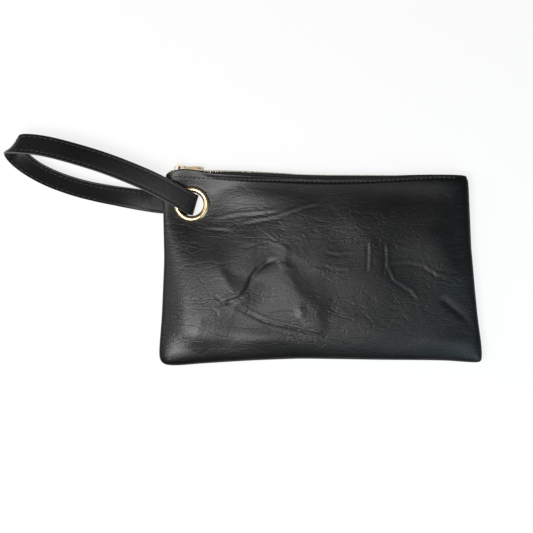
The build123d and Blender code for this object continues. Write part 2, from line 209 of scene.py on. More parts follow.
def noise(nodes, links, where, scale, detail=3.0, distortion=0.0):
    """Noise from 0 to 1 over the object's own places."""
    node = nodes.new("ShaderNodeTexNoise")
    node.inputs["Scale"].default_value = scale
    node.inputs["Detail"].default_value = detail
    node.inputs["Distortion"].default_value = distortion
    links.new(where, node.inputs["Vector"])
    return node.outputs["Fac"]


def remap(nodes, links, value, from_low, from_high, to_low, to_high):
    """A value moved from one range to another and held inside it."""
    node = nodes.new("ShaderNodeMapRange")
    node.inputs["From Min"].default_value = from_low
    node.inputs["From Max"].default_value = from_high
    node.inputs["To Min"].default_value = to_low
    node.inputs["To Max"].default_value = to_high
    links.new(value, node.inputs["Value"])
    return node.outputs["Result"]


def maths(nodes, links, kind, a, b):
    """One sum of two values, each a number or another node's output."""
    node = nodes.new("ShaderNodeMath")
    node.operation = kind
    for socket, value in zip(node.inputs, (a, b)):
        if isinstance(value, (int, float)):
            socket.default_value = value
        else:
            links.new(value, socket)
    return node.outputs[0]


def bumped(nodes, links, height, strength, distance, normal=None):
    """A surface direction bent by a height, on top of another direction if one is given."""
    bump = nodes.new("ShaderNodeBump")
    bump.inputs["Strength"].default_value = strength
    bump.inputs["Distance"].default_value = distance
    links.new(height, bump.inputs["Height"])
    if normal:
        links.new(normal, bump.inputs["Normal"])
    return bump.outputs["Normal"]


def blended(nodes, links, share, low, high):
    """One colour turning into another."""
    tone = nodes.new("ShaderNodeMix")
    tone.data_type = "RGBA"
    tone.inputs["A"].default_value = (*low, 1)
    tone.inputs["B"].default_value = (*high, 1)
    links.new(share, tone.inputs["Factor"])
    return tone.outputs["Result"]


def leather_material(name, dark, light, rough, creases, grain, gloss):
    """Black leather: fine grain, patches of thin wrinkles, tone and gloss that wander."""
    material, nodes, links, shader = new_material(name)
    where = nodes.new("ShaderNodeTexCoord").outputs["Object"]
    patch_low, patch_high = 0.44, 0.60

    def wrinkles(scale, turn, squeeze, width, patch_scale):
        """Thin valleys along the contour lines of a stretched noise, in patches."""
        laid = nodes.new("ShaderNodeMapping")
        laid.inputs["Rotation"].default_value = (0, 0, turn)
        laid.inputs["Scale"].default_value = (*squeeze, 1.0)
        links.new(where, laid.inputs["Vector"])
        level = noise(nodes, links, laid.outputs["Vector"], scale, 1.3, 0.6)
        gap = maths(nodes, links, "ABSOLUTE", maths(nodes, links, "SUBTRACT", level, 0.5), 0.0)
        patch = noise(nodes, links, laid.outputs["Vector"], patch_scale, 2.0, 0.4)
        return maths(nodes, links, "MULTIPLY", remap(nodes, links, gap, 0.0, width, -1.0, 0.0),
                     remap(nodes, links, patch, patch_low, patch_high, 0.0, 1.0))

    height = maths(nodes, links, "MULTIPLY", wrinkles(130.0, 0.3, (0.6, 1.2), 0.045, 26.0), 0.8)
    for layer in ((50.0, 0.12, (0.5, 1.5), 0.022, 20.0), (58.0, 0.80, (0.45, 1.4), 0.025, 21.0),
                  (54.0, -0.66, (0.45, 1.4), 0.025, 19.0)):
        height = maths(nodes, links, "ADD", height, wrinkles(*layer))
    height = maths(nodes, links, "MULTIPLY", height, 0.30 * creases)
    pores = noise(nodes, links, where, 1300.0, 3.0)
    pebble = noise(nodes, links, where, 420.0, 3.0)
    height = maths(nodes, links, "ADD", height, maths(nodes, links, "MULTIPLY", pores, 0.16 * grain))
    height = maths(nodes, links, "ADD", height, maths(nodes, links, "MULTIPLY", pebble, 0.22 * grain))
    links.new(bumped(nodes, links, height, 0.5, 0.0004), shader.inputs["Normal"])
    clouds = remap(nodes, links, noise(nodes, links, where, 11.0, 4.0, 0.3), 0.35, 0.7, 0.0, 1.0)
    links.new(blended(nodes, links, clouds, dark, light), shader.inputs["Base Color"])
    wear = noise(nodes, links, where, 23.0, 4.0)
    links.new(remap(nodes, links, wear, 0.3, 0.7, rough - 0.03, rough + 0.04), shader.inputs["Roughness"])
    shader.inputs["Specular IOR Level"].default_value = gloss
    return material


def metal_material(name, colour, rough):
    """Plated metal with faint handling marks, edges eased."""
    material, nodes, links, shader = new_material(name)
    where = nodes.new("ShaderNodeTexCoord").outputs["Object"]
    shader.inputs["Base Color"].default_value = (*colour, 1)
    shader.inputs["Metallic"].default_value = 1.0
    marks = noise(nodes, links, where, 260.0, 4.0)
    links.new(remap(nodes, links, marks, 0.3, 0.7, rough * 0.8, rough * 1.3), shader.inputs["Roughness"])
    eased = nodes.new("ShaderNodeBevel")
    eased.samples = 6
    eased.inputs["Radius"].default_value = 0.00035
    grain = noise(nodes, links, where, 900.0, 3.0)
    links.new(bumped(nodes, links, grain, 0.12, 0.0001, eased.outputs["Normal"]), shader.inputs["Normal"])
    return material


def cloth_material(name, colour, pitch, rough=0.85):
    """Woven cloth or tape: two crossed sets of threads, with painted shade in the colour where the weave lies
    low.
    """
    material, nodes, links, shader = new_material(name)
    where = nodes.new("ShaderNodeTexCoord").outputs["Object"]
    waves = []
    for axis in ("X", "Y"):
        wave = nodes.new("ShaderNodeTexWave")
        wave.bands_direction = axis
        wave.inputs["Scale"].default_value = math.pi / 10 / pitch
        wave.inputs["Distortion"].default_value = 0.4
        links.new(where, wave.inputs["Vector"])
        waves.append(wave.outputs["Fac"])
    height = maths(nodes, links, "MULTIPLY", *waves)
    links.new(bumped(nodes, links, height, 0.5, 0.0002), shader.inputs["Normal"])
    # Painted shade: the colour darkens to six tenths of itself where the weave lies low between the threads.
    shade = [0.6 * c for c in colour]
    links.new(blended(nodes, links, height, shade, colour), shader.inputs["Base Color"])
    shader.inputs["Roughness"].default_value = rough
    return material


bag_leather = leather_material("bag_leather", (0.003, 0.003, 0.0034), (0.0055, 0.0055, 0.006),
                               rough=0.37, creases=1.25, grain=1.6, gloss=0.34)
strap_leather = leather_material("strap_leather", (0.003, 0.003, 0.0034), (0.005, 0.005, 0.0054),
                                 rough=0.42, creases=0.35, grain=2.2, gloss=0.24)
edge_paint = leather_material("edge_paint", (0.05, 0.052, 0.055), (0.07, 0.072, 0.075),
                              rough=0.45, creases=0.05, grain=0.5, gloss=0.5)
thread = cloth_material("thread", (0.055, 0.055, 0.057), 0.0003, 0.6)
strap_thread = cloth_material("strap_thread", (0.045, 0.045, 0.048), 0.0003, 0.6)
lining_cloth = cloth_material("lining_cloth", (0.03, 0.03, 0.034), 0.0006)
tape_cloth = cloth_material("tape_cloth", (0.012, 0.012, 0.013), 0.0005)
gold = metal_material("gold", (0.56, 0.43, 0.25), 0.29)
zip_gold = metal_material("zip_gold", (0.80, 0.74, 0.60), 0.26)
board = cloth_material("board", (0.1, 0.1, 0.1), 0.001)

# --- Body of the bag ---------------------------------------------------------

# The four edges of the bag as it lies, sagging and bulging as in the photograph. The side
# edges give X along Y, the others Y along X.
left_edge = line([(-92, -149.6), (-76, -148.6), (-46, -146.2), (7, -143.9), (49, -144.8), (70, -145.0),
                  (90, -143)])
right_edge = line([(-92, 152.2), (-74, 151.9), (-46, 148.1), (-22, 145.7), (5, 143.4), (26, 141.4),
                   (64, 139.8), (90, 139.2)])
bottom_edge = line([(-152, -91.6), (-133, -91.5), (-110, -89.4), (-60, -86.4), (-17, -84.8), (10, -85.2),
                    (60, -86), (105, -86.3), (124, -86.8), (137, -88.2), (152, -88.6)])
mouth_edge = line([(-150, 84.0), (-143, 86.0), (-138, 88.0), (-132, 90.4), (-127, 91.2), (-120, 90.3),
                   (-112, 89.0), (-104, 87.8), (-95, 86.6), (-64, 84.8), (-36, 83.4), (-18, 82.2),
                   (10, 81.8), (38, 82.2), (60, 83.6), (85, 84.9), (108, 85.2), (130, 85.0), (145, 84.0)])
stitch_line = line([(-136, 84.2), (-107, 82.5), (-67, 81.2), (10, 79.2), (49, 79.9), (84, 82.0),
                    (118, 83.6), (134, 82.9)])


def boundary():
    """Closed plan of the bag as four sides that meet at the middles of its round corners."""
    round_reach, full_reach, full_near = 3.6, 8.5, 30      # the lower left corner is the roundest
    across = np.linspace(0, 1, 400)
    low_left = (left_edge(-90.0), bottom_edge(-148.0))
    low_right = (right_edge(-88.0), bottom_edge(150.0))
    high_right = (right_edge(88.0), mouth_edge(140.0))
    high_left = (left_edge(86.0), mouth_edge(-145.0))

    def run_x(a, b, edge):
        """Points of a lower or upper edge."""
        x = a + (b - a) * across
        return np.stack([x, edge(x)], 1)[:-1]

    def run_y(a, b, edge):
        """Points of a side edge."""
        y = a + (b - a) * across
        return np.stack([edge(y), y], 1)[:-1]

    loop = np.concatenate([
        run_x(low_left[0], low_right[0], bottom_edge), run_y(low_right[1], high_right[1], right_edge),
        run_x(high_right[0], high_left[0], mouth_edge), run_y(high_left[1], low_left[1], left_edge)])
    closed = np.concatenate([loop, loop[:1]])
    length = np.concatenate([[0], np.cumsum(np.linalg.norm(np.diff(closed, axis=0), axis=1))])
    count = 1800
    even = np.linspace(0, length[-1], count, endpoint=False)
    loop = np.stack([np.interp(even, length, closed[:, k]) for k in (0, 1)], 1)
    step = length[-1] / count
    freq = np.fft.fftfreq(count)

    def rounded(reach):
        """The plan with everything shorter than about reach eased away."""
        damp = np.exp(-2 * (np.pi * freq * reach / step) ** 2)
        return np.stack([np.fft.ifft(np.fft.fft(loop[:, k]) * damp).real for k in (0, 1)], 1)

    full = np.exp(-(np.linalg.norm(loop - np.array(low_left), axis=1) / full_near) ** 2)[:, None]
    loop = rounded(round_reach) * (1 - full) + rounded(full_reach) * full
    corners = []
    for corner in (low_left, low_right, high_right, high_left):
        corners.append(int(np.argmin(np.linalg.norm(loop - np.array(corner), axis=1))))
    loop = np.roll(loop, -corners[0], axis=0)
    marks = [(c - corners[0]) % count for c in corners] + [count]
    closed = np.concatenate([loop, loop[:1]])
    return [closed[marks[i]:marks[i + 1] + 1] for i in range(4)]


sides = boundary()


def resample(points, shares):
    """Points of a side at given shares of its length."""
    length = np.concatenate([[0], np.cumsum(np.linalg.norm(np.diff(points, axis=0), axis=1))])
    return np.stack([np.interp(shares * length[-1], length, points[:, k]) for k in (0, 1)], 1)


def plan_grid(cols, rows):
    """Points of the plan, closer together towards its edges."""
    def shares(n, pull):
        """Shares from 0 to 1 that crowd towards both ends."""
        a = np.linspace(0, 1, n)
        return a - pull * np.sin(2 * np.pi * a) / (2 * np.pi)
    u, v = shares(cols, 0.86), shares(rows, 0.84)
    low, right = resample(sides[0], u), resample(sides[1], v)
    high, left = resample(sides[2][::-1], u), resample(sides[3][::-1], v)
    uu, vv = u[None, :, None], v[:, None, None]
    patch = (1 - vv) * low[None] + vv * high[None] + (1 - uu) * left[:, None] + uu * right[:, None]
    patch -= ((1 - uu) * (1 - vv) * low[0] + uu * (1 - vv) * low[-1]
              + (1 - uu) * vv * high[0] + uu * vv * high[-1])
    return patch


def edge_distance(x, y):
    """Distance of points from the seamed sides and bottom, eased where two of them compete."""
    batch, stride, closest, hardness = 4000, 4, 0.02, 3.0
    flat = np.stack([np.ravel(x), np.ravel(y)], 1)
    total = np.zeros(len(flat))
    for side in (sides[3], sides[0], sides[1]):
        edge = side[np.unique(np.append(np.arange(0, len(side), stride), len(side) - 1))]
        for i in range(0, len(flat), batch):
            part = flat[i:i + batch]
            nearest = ((part[:, None, :] - edge[None]) ** 2).sum(2).argmin(1)
            gap = np.full(len(part), np.inf)
            for before in (1, 0):
                k = np.clip(nearest - before, 0, len(edge) - 2)
                run = edge[k + 1] - edge[k]
                t = np.clip(((part - edge[k]) * run).sum(1) / (run ** 2).sum(1), 0, 1)
                gap = np.minimum(gap, np.linalg.norm(part - edge[k] - run * t[:, None], axis=1))
            total[i:i + batch] += np.maximum(gap, closest) ** -hardness
    return (total ** (-1 / hardness)).reshape(np.shape(x))


def to_path(x, y, points):
    """Distance from a path, its side (1 to the left, -1 to the right) and the share of it reached."""
    points = np.array(points, float)
    pieces = np.linalg.norm(np.diff(points, axis=0), axis=1)
    starts = np.concatenate([[0], np.cumsum(pieces)])
    total, near, side, share = (np.zeros(np.shape(x)) for _ in range(4))
    for a, b, at, size in zip(points, points[1:], starts, pieces):
        d = (b - a) / size
        t = np.clip((x - a[0]) * d[0] + (y - a[1]) * d[1], 0, size)
        dist = np.hypot(x - a[0] - d[0] * t, y - a[1] - d[1] * t)
        off = d[0] * (y - a[1]) - d[1] * (x - a[0])
        weight = (dist + 0.6) ** -4
        total += weight
        near += (dist + 0.05) ** -6
        side += weight * np.tanh(off / 2)
        share += weight * (at + t) / starts[-1]
    return near ** (-1 / 6), side / total, share / total


def crease(x, y, points, depth, width, shoulder):
    """A soft valley along a path that dies away at its ends, with a lip on its left."""
    dist, side, share = to_path(x, y, points)
    ends = smooth(0, 0.16, share) * smooth(1, 0.84, share)
    dip = -depth * np.exp(-(dist / width) ** 2)
    lip = shoulder * np.exp(-((dist * side - 1.7 * width) / (1.3 * width)) ** 2)
    return (dip + lip) * ends


def turned(x, y, cx, cy, turn):
    """Places about a middle, in directions turned by so many degrees."""
    c, s = math.cos(math.radians(turn)), math.sin(math.radians(turn))
    return (x - cx) * c + (y - cy) * s, (y - cy) * c - (x - cx) * s


def swell(x, y, cx, cy, rx, ry, height, turn):
    """A broad rise or, with a negative height, a hollow."""
    u, v = turned(x, y, cx, cy, turn)
    return height * np.exp(-(u / rx) ** 2 - (v / ry) ** 2)


def ridge(x, y, points, height, left_reach, right_reach):
    """A fold with its crest on a path and a flank of its own reach on either side."""
    dist, side, share = to_path(x, y, points)
    ends = smooth(-0.02, 0.22, share) * smooth(1.02, 0.78, share)
    lean = smooth(-1, 1, side)
    reach = right_reach + (left_reach - right_reach) * lean
    return height * np.exp(-(np.sqrt(dist ** 2 + 4) - 2) / reach * (dist / (dist + 0.3 * reach))) * ends


RIDGES = (   # path of the crest, height, reach of the left and of the right flank
    ([(-68, -8), (-74, -28), (-95, -36), (-109, -44), (-115, -60), (-124, -78)], 1.7, 8, 26),
    ([(-44, 12), (-37, 6), (-29, -7), (-23, -19), (-13, -32), (-5, -37), (12, -41)], 1.05, 9, 22),
    ([(-64, 44), (-47, 34), (-29, 18), (-6, 3), (14, -6)], 0.6, 16, 9),
    ([(20, 60), (38, 34), (52, 12), (60, -12), (80, -30)], 0.9, 14, 26),
    ([(96, 40), (112, 20), (126, -4), (134, -20)], 0.8, 12, 20))
SWELLS = (   # middle, half widths, height, turn in degrees
    (-100, -58, 18, 14, 1.1, 15), (-56, -66, 36, 9, 1.1, -4), (-52, 73, 28, 17, 0.8, 0),
    (-50, 46, 27, 20, -1.9, 0), (-113, 20, 18, 12, -0.4, 0), (34, -52, 30, 16, 0.7, 0),
    (104, 80, 46, 28, -1.9, 0), (88, -6, 22, 20, -0.7, -30), (-16.6, -41, 4, 6, 0.5, 20),
    (118, -72, 28, 10, 1.3, 5))
CREASES = (  # path, depth, width, lip on its left
    ([(-97, -37), (-82, -31.6), (-73, -28), (-65.5, -19), (-62, -9), (-56, -1), (-47, 5), (-37, 7)],
     0.6, 2.0, 0.15),
    ([(-84, -33), (-60, -45), (-50, -50), (-29, -55), (-11, -60), (12, -65)], 0.42, 1.3, 0.2),
    ([(-76, -33), (-90, -31), (-97, -26)], 0.3, 1.2, 0.0),
    ([(-110, 40), (-78, 47), (-34, 51)], 0.22, 1.5, 0.2),
    ([(-74, 39), (-40, 45), (-14, 54), (4, 59)], 0.28, 1.5, 0.2),
    ([(-142, 41), (-111, 36), (-78, 33)], 0.28, 1.5, 0.2),
    ([(60.3, 24), (61, 5), (59, -9)], 0.28, 1.2, 0.15),
    ([(44.6, 27), (45, 12), (44, -5)], 0.22, 1.2, 0.15),
    ([(60, 5), (67, -12), (84, -23), (92, -33)], 0.3, 1.3, 0.2),
    ([(62, 2), (82, 3.5), (96, 0.5), (108, -8), (122, -11)], 0.3, 1.2, 0.2),
    ([(4, 13.5), (18, 11), (33, 13)], 0.25, 1.1, 0.15),
    ([(3, 1.5), (13, -2), (28, -3.5)], 0.25, 1.1, 0.15),
    ([(111, -26), (121, -35), (133, -44.5), (147, -57)], 1.1, 3.4, 0.0))
RIPPLES = (  # middle, reach, turn in degrees, pitch, height
    (-70, 24, 22, 70, 5.5, 0.16), (-70, 24, 22, -70, 5.5, 0.16), (-95, 52, 30, 8, 5.0, 0.13),
    (-30, 50, 34, 172, 5.6, 0.13), (-25, 4, 30, -48, 6.5, 0.15), (-40, -32, 24, 30, 5.2, 0.13),
    (-92, -58, 18, 60, 4.4, 0.15), (10, -22, 32, -30, 6.0, 0.14), (50, 8, 26, 88, 5.8, 0.13),
    (84, -20, 26, -52, 4.6, 0.16), (112, 4, 26, -60, 5.2, 0.14), (22, -60, 36, -12, 5.0, 0.16),
    (90, 56, 34, 2, 6.0, 0.10), (-120, 30, 26, 4, 4.8, 0.13), (50, -44, 30, -35, 4.8, 0.14))


def sculpt(x, y):
    """Folds, dents and fullness of the front panel as it lies."""
    z = np.zeros(np.shape(x))
    for fold in RIDGES:
        z += ridge(x, y, *fold)
    for rise in SWELLS:
        z += swell(x, y, *rise)
    for valley in CREASES:
        z += crease(x, y, *valley)
    wander = np.sin(0.061 * x + 0.9 * np.sin(0.045 * y)) * np.cos(0.071 * y + 0.8 * np.sin(0.052 * x))
    return z + 0.3 * wander


def ripples(x, y):
    """Short fine wrinkles where the leather has been bent, as many small crossing waves."""
    total = np.zeros(np.shape(x))
    for cx, cy, reach, turn, pitch, height in RIPPLES:
        u, v = turned(x, y, cx, cy, turn)
        phase = v / pitch * 2 * np.pi + 1.6 * np.sin(u / 9.0 + cx) + 0.9 * np.sin(u / 3.7 + 2 * cy)
        near = np.exp(-(u ** 2 + v ** 2) / reach ** 2)
        broken = smooth(-0.3, 0.7, np.sin(u / 6.1 + 0.35 * v + cy) * np.cos(v / 8.3 + 0.2 * u))
        total += height * near * broken * (1 - np.abs(np.sin(phase / 2))) ** 2 * -0.7
    return total


def half_depth(x, y, rise, roll, with_folds):
    """How far one side of the bag stands off the seam plane."""
    inset = edge_distance(x, y)
    share = np.clip(inset / roll, 0, 1)
    # The filled belly, flatter towards its left and right ends.
    pillow = rise * (1 - (1 - share) ** 2.4) ** (1 / 2.6) * (1 - 0.26 * (x / 150) ** 2)
    # The hem holds it down along the mouth, lowest by the eyelet.
    pressed = HEM_HALF - 0.8 * smooth(-84, -116, x)
    hem = pressed + (rise - pressed) * smooth(MOUTH_Y - HEM, MOUTH_Y - HEM - 38, y)
    # The eyelet pinches it: flat inside the seat, then a slope that is steeper up to the mouth.
    from_eye = np.hypot(x - EYE_X, y - EYE_Y)
    upward = smooth(0.35, 0.98, (y - EYE_Y) / np.maximum(from_eye, 1))
    slope, easing = 0.16 + 0.17 * upward, 2
    dish = PINCH + slope * (np.sqrt(np.clip(from_eye - SEAT + easing, 0, None) ** 2 + easing ** 2) - easing)
    if with_folds:
        hem = hem - 0.5 * np.exp(-((y - stitch_line(x)) / 0.9) ** 2)     # the row of stitches
    depth = soft_min(soft_min(pillow, hem, 0.7), dish, 1.2)
    if with_folds:
        below_hem = MOUTH_Y - HEM - y
        calm = smooth(2, 22, inset) * smooth(-4, 16, below_hem) * smooth(SEAT + 2, SEAT + 20, from_eye)
        fine = smooth(3, 9, inset) * smooth(1, 6, below_hem) * smooth(SEAT, SEAT + 8, from_eye)
        depth = depth + calm * sculpt(x, y) + fine * ripples(x, y)
        # The hem rolls in towards the chain, except beside the slider.
        depth = depth - 1.1 * smooth(5.5, 0.5, mouth_edge(x) - y) * smooth(-114, -98, x) * smooth(0, 6, inset)
    return np.clip(depth, 0, None)


def front_at(x, y):
    """The front, which rounds over a wide border and shows the folds."""
    return half_depth(np.asarray(x, float), np.asarray(y, float), BELLY, 40.0, True)


def back_at(x, y):
    """The back, which lies flat on the ground nearly to its border."""
    return half_depth(np.asarray(x, float), np.asarray(y, float), SEAM, 16.0, False)


def open_bore(points):
    """Points of a sheet, and those of its faces that lie clear of the eyelet's bore."""
    faces = np.array(grid_faces(*points.shape[:2]))
    flat = points.reshape(-1, 3)
    off = np.hypot(flat[:, 0] - EYE_X, flat[:, 1] - EYE_Y)
    return flat, faces[(off[faces] > BORE_CUT).all(1)]


def leather_side(name, node, depth_at, sign, cols, rows):
    """One panel: its outer face, the edge folded over at the mouth, and the turned hem inside."""
    plan = plan_grid(cols, rows)
    x, y = plan[..., 0], plan[..., 1]
    depth = depth_at(x, y)
    depth[0] = depth[:, 0] = depth[:, -1] = 0
    sheets = [np.stack([x, y, SEAM + sign * depth], 2)]
    top_x, top_y, top_d = x[-1], y[-1], depth[-1]
    fold = np.minimum(LEATHER, top_d * 0.5)
    for turn in np.linspace(15, 180, 9):
        c, s = math.cos(math.radians(turn)), math.sin(math.radians(turn))
        sheets.append(np.stack([top_x, top_y + fold * s, SEAM + sign * (top_d - fold + fold * c)], 1)[None])
    inner_x = top_x * 0.985             # the hem inside keeps clear of the side seams
    for down in (1.0, 4.0, 8.0, HEM + 1):
        edge = np.clip(depth_at(inner_x, top_y - down) - 2 * fold, 0.05, None)
        inner = np.minimum(edge, HEM_HALF - 2 * LEATHER + 0.1)
        sheets.append(np.stack([inner_x, top_y - down, SEAM + sign * inner], 1)[None])
    obj = mesh_object(name, *open_bore(np.concatenate(sheets)), bag_leather, "bag", "leather")
    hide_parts(node)


cols, rows = ((360, 230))
leather_side("front_leather", "front_panel", front_at, 1, cols, rows)
leather_side("back_leather", "back_panel", back_at, -1, cols // 2, rows // 2)


def lining_side(name, node, depth_at, sign):
    """Loose lining just inside one panel, from under the hem down to the bottom."""
    narrower, gap = 0.955, 3.4          # against the panel's plan and its outer face
    low, high, plan_low = -79, MOUTH_Y - 5, -86
    plan = plan_grid(150, 90)
    x = plan[..., 0] * narrower
    y = low + (plan[..., 1] - plan_low) * (high - low) / (MOUTH_Y - plan_low)
    depth = depth_at(x, y) - gap
    depth += 0.35 * np.sin(x / 13 + 0.5 * np.sin(y / 21)) * smooth(70, 30, y)
    tuck = smooth(0, 10, edge_distance(x, y) - 4)
    depth = np.clip(depth * tuck, 0.15, None)
    points = np.stack([x, y, SEAM + sign * depth], 2)
    obj = mesh_object(name, *open_bore(points), lining_cloth, "bag", "lining")
    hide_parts(node)


lining_side("front_lining_cloth", "front_lining", front_at, 1)
lining_side("back_lining_cloth", "back_lining", back_at, -1)


def stitch(middle, along, up, length, width, height):
    """One stitch: a short thread that dips in at both ends."""
    middle, along, up = (np.asarray(v, float) for v in (middle, along, up))
    along = along / np.linalg.norm(along)
    up = up - along * up.dot(along)
    up = up / np.linalg.norm(up)
    across = np.cross(along, up)
    rings = []
    for place, size, lift in ((-0.5, 0.45, -0.7), (-0.4, 0.85, 0.1), (-0.15, 1, 0.35), (0.15, 1, 0.35),
                              (0.4, 0.85, 0.1), (0.5, 0.45, -0.7)):
        centre = middle + along * place * length + up * lift * height
        rings.append([centre + across * math.cos(a) * size * width / 2 + up * math.sin(a) * size * height / 2
                      for a in round_angles(6)])
    return sweep(rings)


def hem_row(name, node, depth_at, sign):
    """The row of stitches along the mouth, each a little slanted."""
    first, last, pitch = -133, 133, 4.3
    xs = np.arange(first, last, pitch)
    ys = stitch_line(xs)
    zs = depth_at(xs, ys)
    parts = []
    for k in range(len(xs) - 1):
        middle = (xs[k], ys[k], SEAM + sign * (zs[k] + 0.08))
        along = (xs[k + 1] - xs[k], ys[k + 1] - ys[k] + 0.5, sign * (zs[k + 1] - zs[k]))
        parts.append(stitch(middle, along, (0, 0, sign), 2.8, 1.0, 0.75))
    obj = mesh_object(name, *gather(parts), thread, "bag", "thread")
    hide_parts(node)


hem_row("front_hem_thread", "front_hem_stitching", front_at, 1)
hem_row("back_hem_thread", "back_hem_stitching", back_at, -1)

# --- Eyelet ------------------------------------------------------------------


def lathe(name, profile, node):
    """A turned ring about the eyelet's axis from (radius, height off the seam plane) points."""
    sides, places = 128, 56
    path, marks = natural_spline([(r, z, 0) for r, z in profile])
    fine = path(np.linspace(0, marks[-1], places))[:, :2]
    rings = [[(EYE_X + r * math.cos(a), EYE_Y + r * math.sin(a), SEAM + z) for a in round_angles(sides)]
             for r, z in fine]
    verts = np.array(rings).reshape(-1, 3)
    obj = mesh_object(name, verts, grid_faces(places, sides, wrap=True), gold, "bag", "gold_metal")
    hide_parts(node)


barrel = [(12.6, -3.0), (12.2, -4.2), (11.5, -4.2), (11.05, -3.4), (11.0, -1.5), (11.0, 1.5)]
rim = [(13.9 - 2.9 * math.cos(t), 2.45 + 2.3 * math.sin(t)) for t in np.linspace(0.12, 1.0, 9) * math.pi]
lathe("eyelet_ring", barrel + rim, "eyelet")
lathe("eyelet_back_ring", [(12.2, -3.0), (12.8, -3.4), (13.6, -4.0), (14.8, -4.3), (16.2, -3.7), (17.0, -2.8),
                           (16.8, -2.2)], "eyelet_washer")

# --- Zip ---------------------------------------------------------------------

# How far the closed chain lies above its straight line: it sags with the mouth.
chain_lift = line([(-150, 1.3), (-112, 1.25), (-87, 1.1), (-64, 0.3), (-36, -1.2), (-18, -2.6), (10, -3.2),
                   (38, -3.3), (67, -3.4), (85, -3.4), (150, -3.4)])
TEETH_Y = CHAIN_Y + 0.45     # middle of the teeth
TAPE_END_Y = CHAIN_Y - 0.6   # where the tapes end, between the legs of the teeth
TOOTH_PITCH = 2.5
tooth_low, tooth_high = (1000 * v.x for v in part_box("front_zip_teeth"))
tape_low, tape_high = (1000 * v.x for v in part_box("front_tape_lip"))
lip_halves = (("left", tape_low, 0.0), ("right", 0.0, tape_high))


def bend_to_bag(obj, end):
    """Bakes the piece's place into its points, the same for either half."""
    if end == "left":
        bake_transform(obj)
    else:
        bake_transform(obj)


def ribbon(path_at, sign, x0, x1):
    """A tape that runs along X; path_at gives its section as (Y, Z) points."""
    thick, step = 0.45, 2.0
    rings = []
    for x in np.linspace(x0, x1, int((x1 - x0) / step) + 2):
        pts = np.array(path_at(x, sign), float)
        way = np.gradient(pts, axis=0)
        way /= np.linalg.norm(way, axis=1)[:, None]
        side = np.stack([-way[:, 1], way[:, 0]], 1) * thick / 2
        ring = np.concatenate([pts + side, (pts - side)[::-1]])
        rings.append([(x, y, z) for y, z in ring])
    return sweep(rings)


def fold_at(x):
    """Where a tape lies off the seam plane: under the hem, which the eyelet presses in."""
    return min(FOLD, float(front_at(x, mouth_edge(x) - 1.5)) - INSIDE)


def sewn_section(x, sign):
    """The tape's sewn part: it follows the inside of the leather down from the fold."""
    up = chain_lift(x)
    fold = fold_at(x)
    points = []
    for y in (75.2, 77.5, 80.0, 82.5):
        points.append((y, SEAM + sign * min(fold, max(float(front_at(x, y)) - INSIDE, 0.6))))
    return points + [(87.0 + 0.6 * up, SEAM + sign * fold), (87.35 + 0.7 * up, SEAM + sign * (fold - 0.1))]


def free_section(x, sign):
    """The tape's free part: from the fold in to the teeth."""
    up = chain_lift(x)
    fold_z = SEAM + sign * fold_at(x)
    return [(87.3 + 0.7 * up, fold_z - sign * 0.1), (87.9 + 0.8 * up, fold_z - sign * 0.45),
            (TAPE_END_Y + up, SEAM + sign * 3.9), (TAPE_END_Y + up, SEAM + sign * 2.2)]


def tooth(x, sign):
    """One cast tooth: legs that grip the tape, a waist and a rounded head."""
    y = TEETH_Y + chain_lift(x)
    outline = ((1, 0.55), (0.6, 1), (-0.6, 1), (-1, 0.55), (-1, -0.55), (-0.6, -1), (0.6, -1), (1, -0.55))
    rings = []
    for z, wide, deep in ((3.15, 0.42, 0.95), (2.95, 0.62, 1.25), (1.6, 0.64, 1.3), (0.9, 0.58, 1.2),
                          (0.1, 0.6, 1.1), (-0.55, 0.56, 0.95), (-0.9, 0.3, 0.6)):
        rings.append([(x + wide * cx, y + deep * cy, SEAM + sign * z) for cx, cy in outline])
    return sweep(rings)


def zip_side(side, sign, shift):
    """One tape and its row of teeth: the sewn part, then both halves of the lip."""
    strip = mesh_object(side + "_sewn_tape", *ribbon(sewn_section, sign, tape_low, tape_high), tape_cloth,
                        "bag", "zip_tape")
    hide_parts(side + "_zip_tape")
    starts = np.arange(tooth_low + TOOTH_PITCH / 4, tooth_high, TOOTH_PITCH) + shift
    for end, x0, x1 in lip_halves:
        strip = mesh_object(f"{side}_{end}_lip_tape", *ribbon(free_section, sign, x0, x1), tape_cloth,
                            None, "zip_tape")
        bend_to_bag(strip, end)
        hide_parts(side + "_tape_lip")
        row = mesh_object(f"{side}_{end}_teeth", *gather([tooth(x, sign) for x in starts if x0 < x <= x1]),
                          zip_gold, None, "zip_metal")
        bend_to_bag(row, end)
        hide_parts(side + "_zip_teeth")


def bottom_stop():
    """The clip round both rows at the far end of the chain, squarish in section."""
    stop_x = 1000 * (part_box("zip_bottom_stop")[0].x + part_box("zip_bottom_stop")[1].x) / 2
    stop_y = TEETH_Y + chain_lift(stop_x)
    half_width, half_height = 1.2, 3.0
    rings = []
    for x, size in ((-1.75, 0.55), (-1.5, 0.9), (-1.1, 1.0), (1.1, 1.0), (1.5, 0.9), (1.75, 0.55)):
        ring = []
        for a in round_angles(20):
            squared = (abs(math.cos(a)) + abs(math.sin(a))) ** -0.6
            ring.append((stop_x + x, stop_y + half_width * size * math.sin(a),
                         SEAM + half_height * size * math.cos(a) * squared))
        rings.append(ring)
    stop = mesh_object("bottom_stop", *sweep(rings), zip_gold, "bag", "zip_metal")
    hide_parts("zip_bottom_stop")


zip_side("front", 1, 0.0)
zip_side("back", -1, TOOTH_PITCH / 2)
bottom_stop()

# --- Wrist strap -------------------------------------------------------------

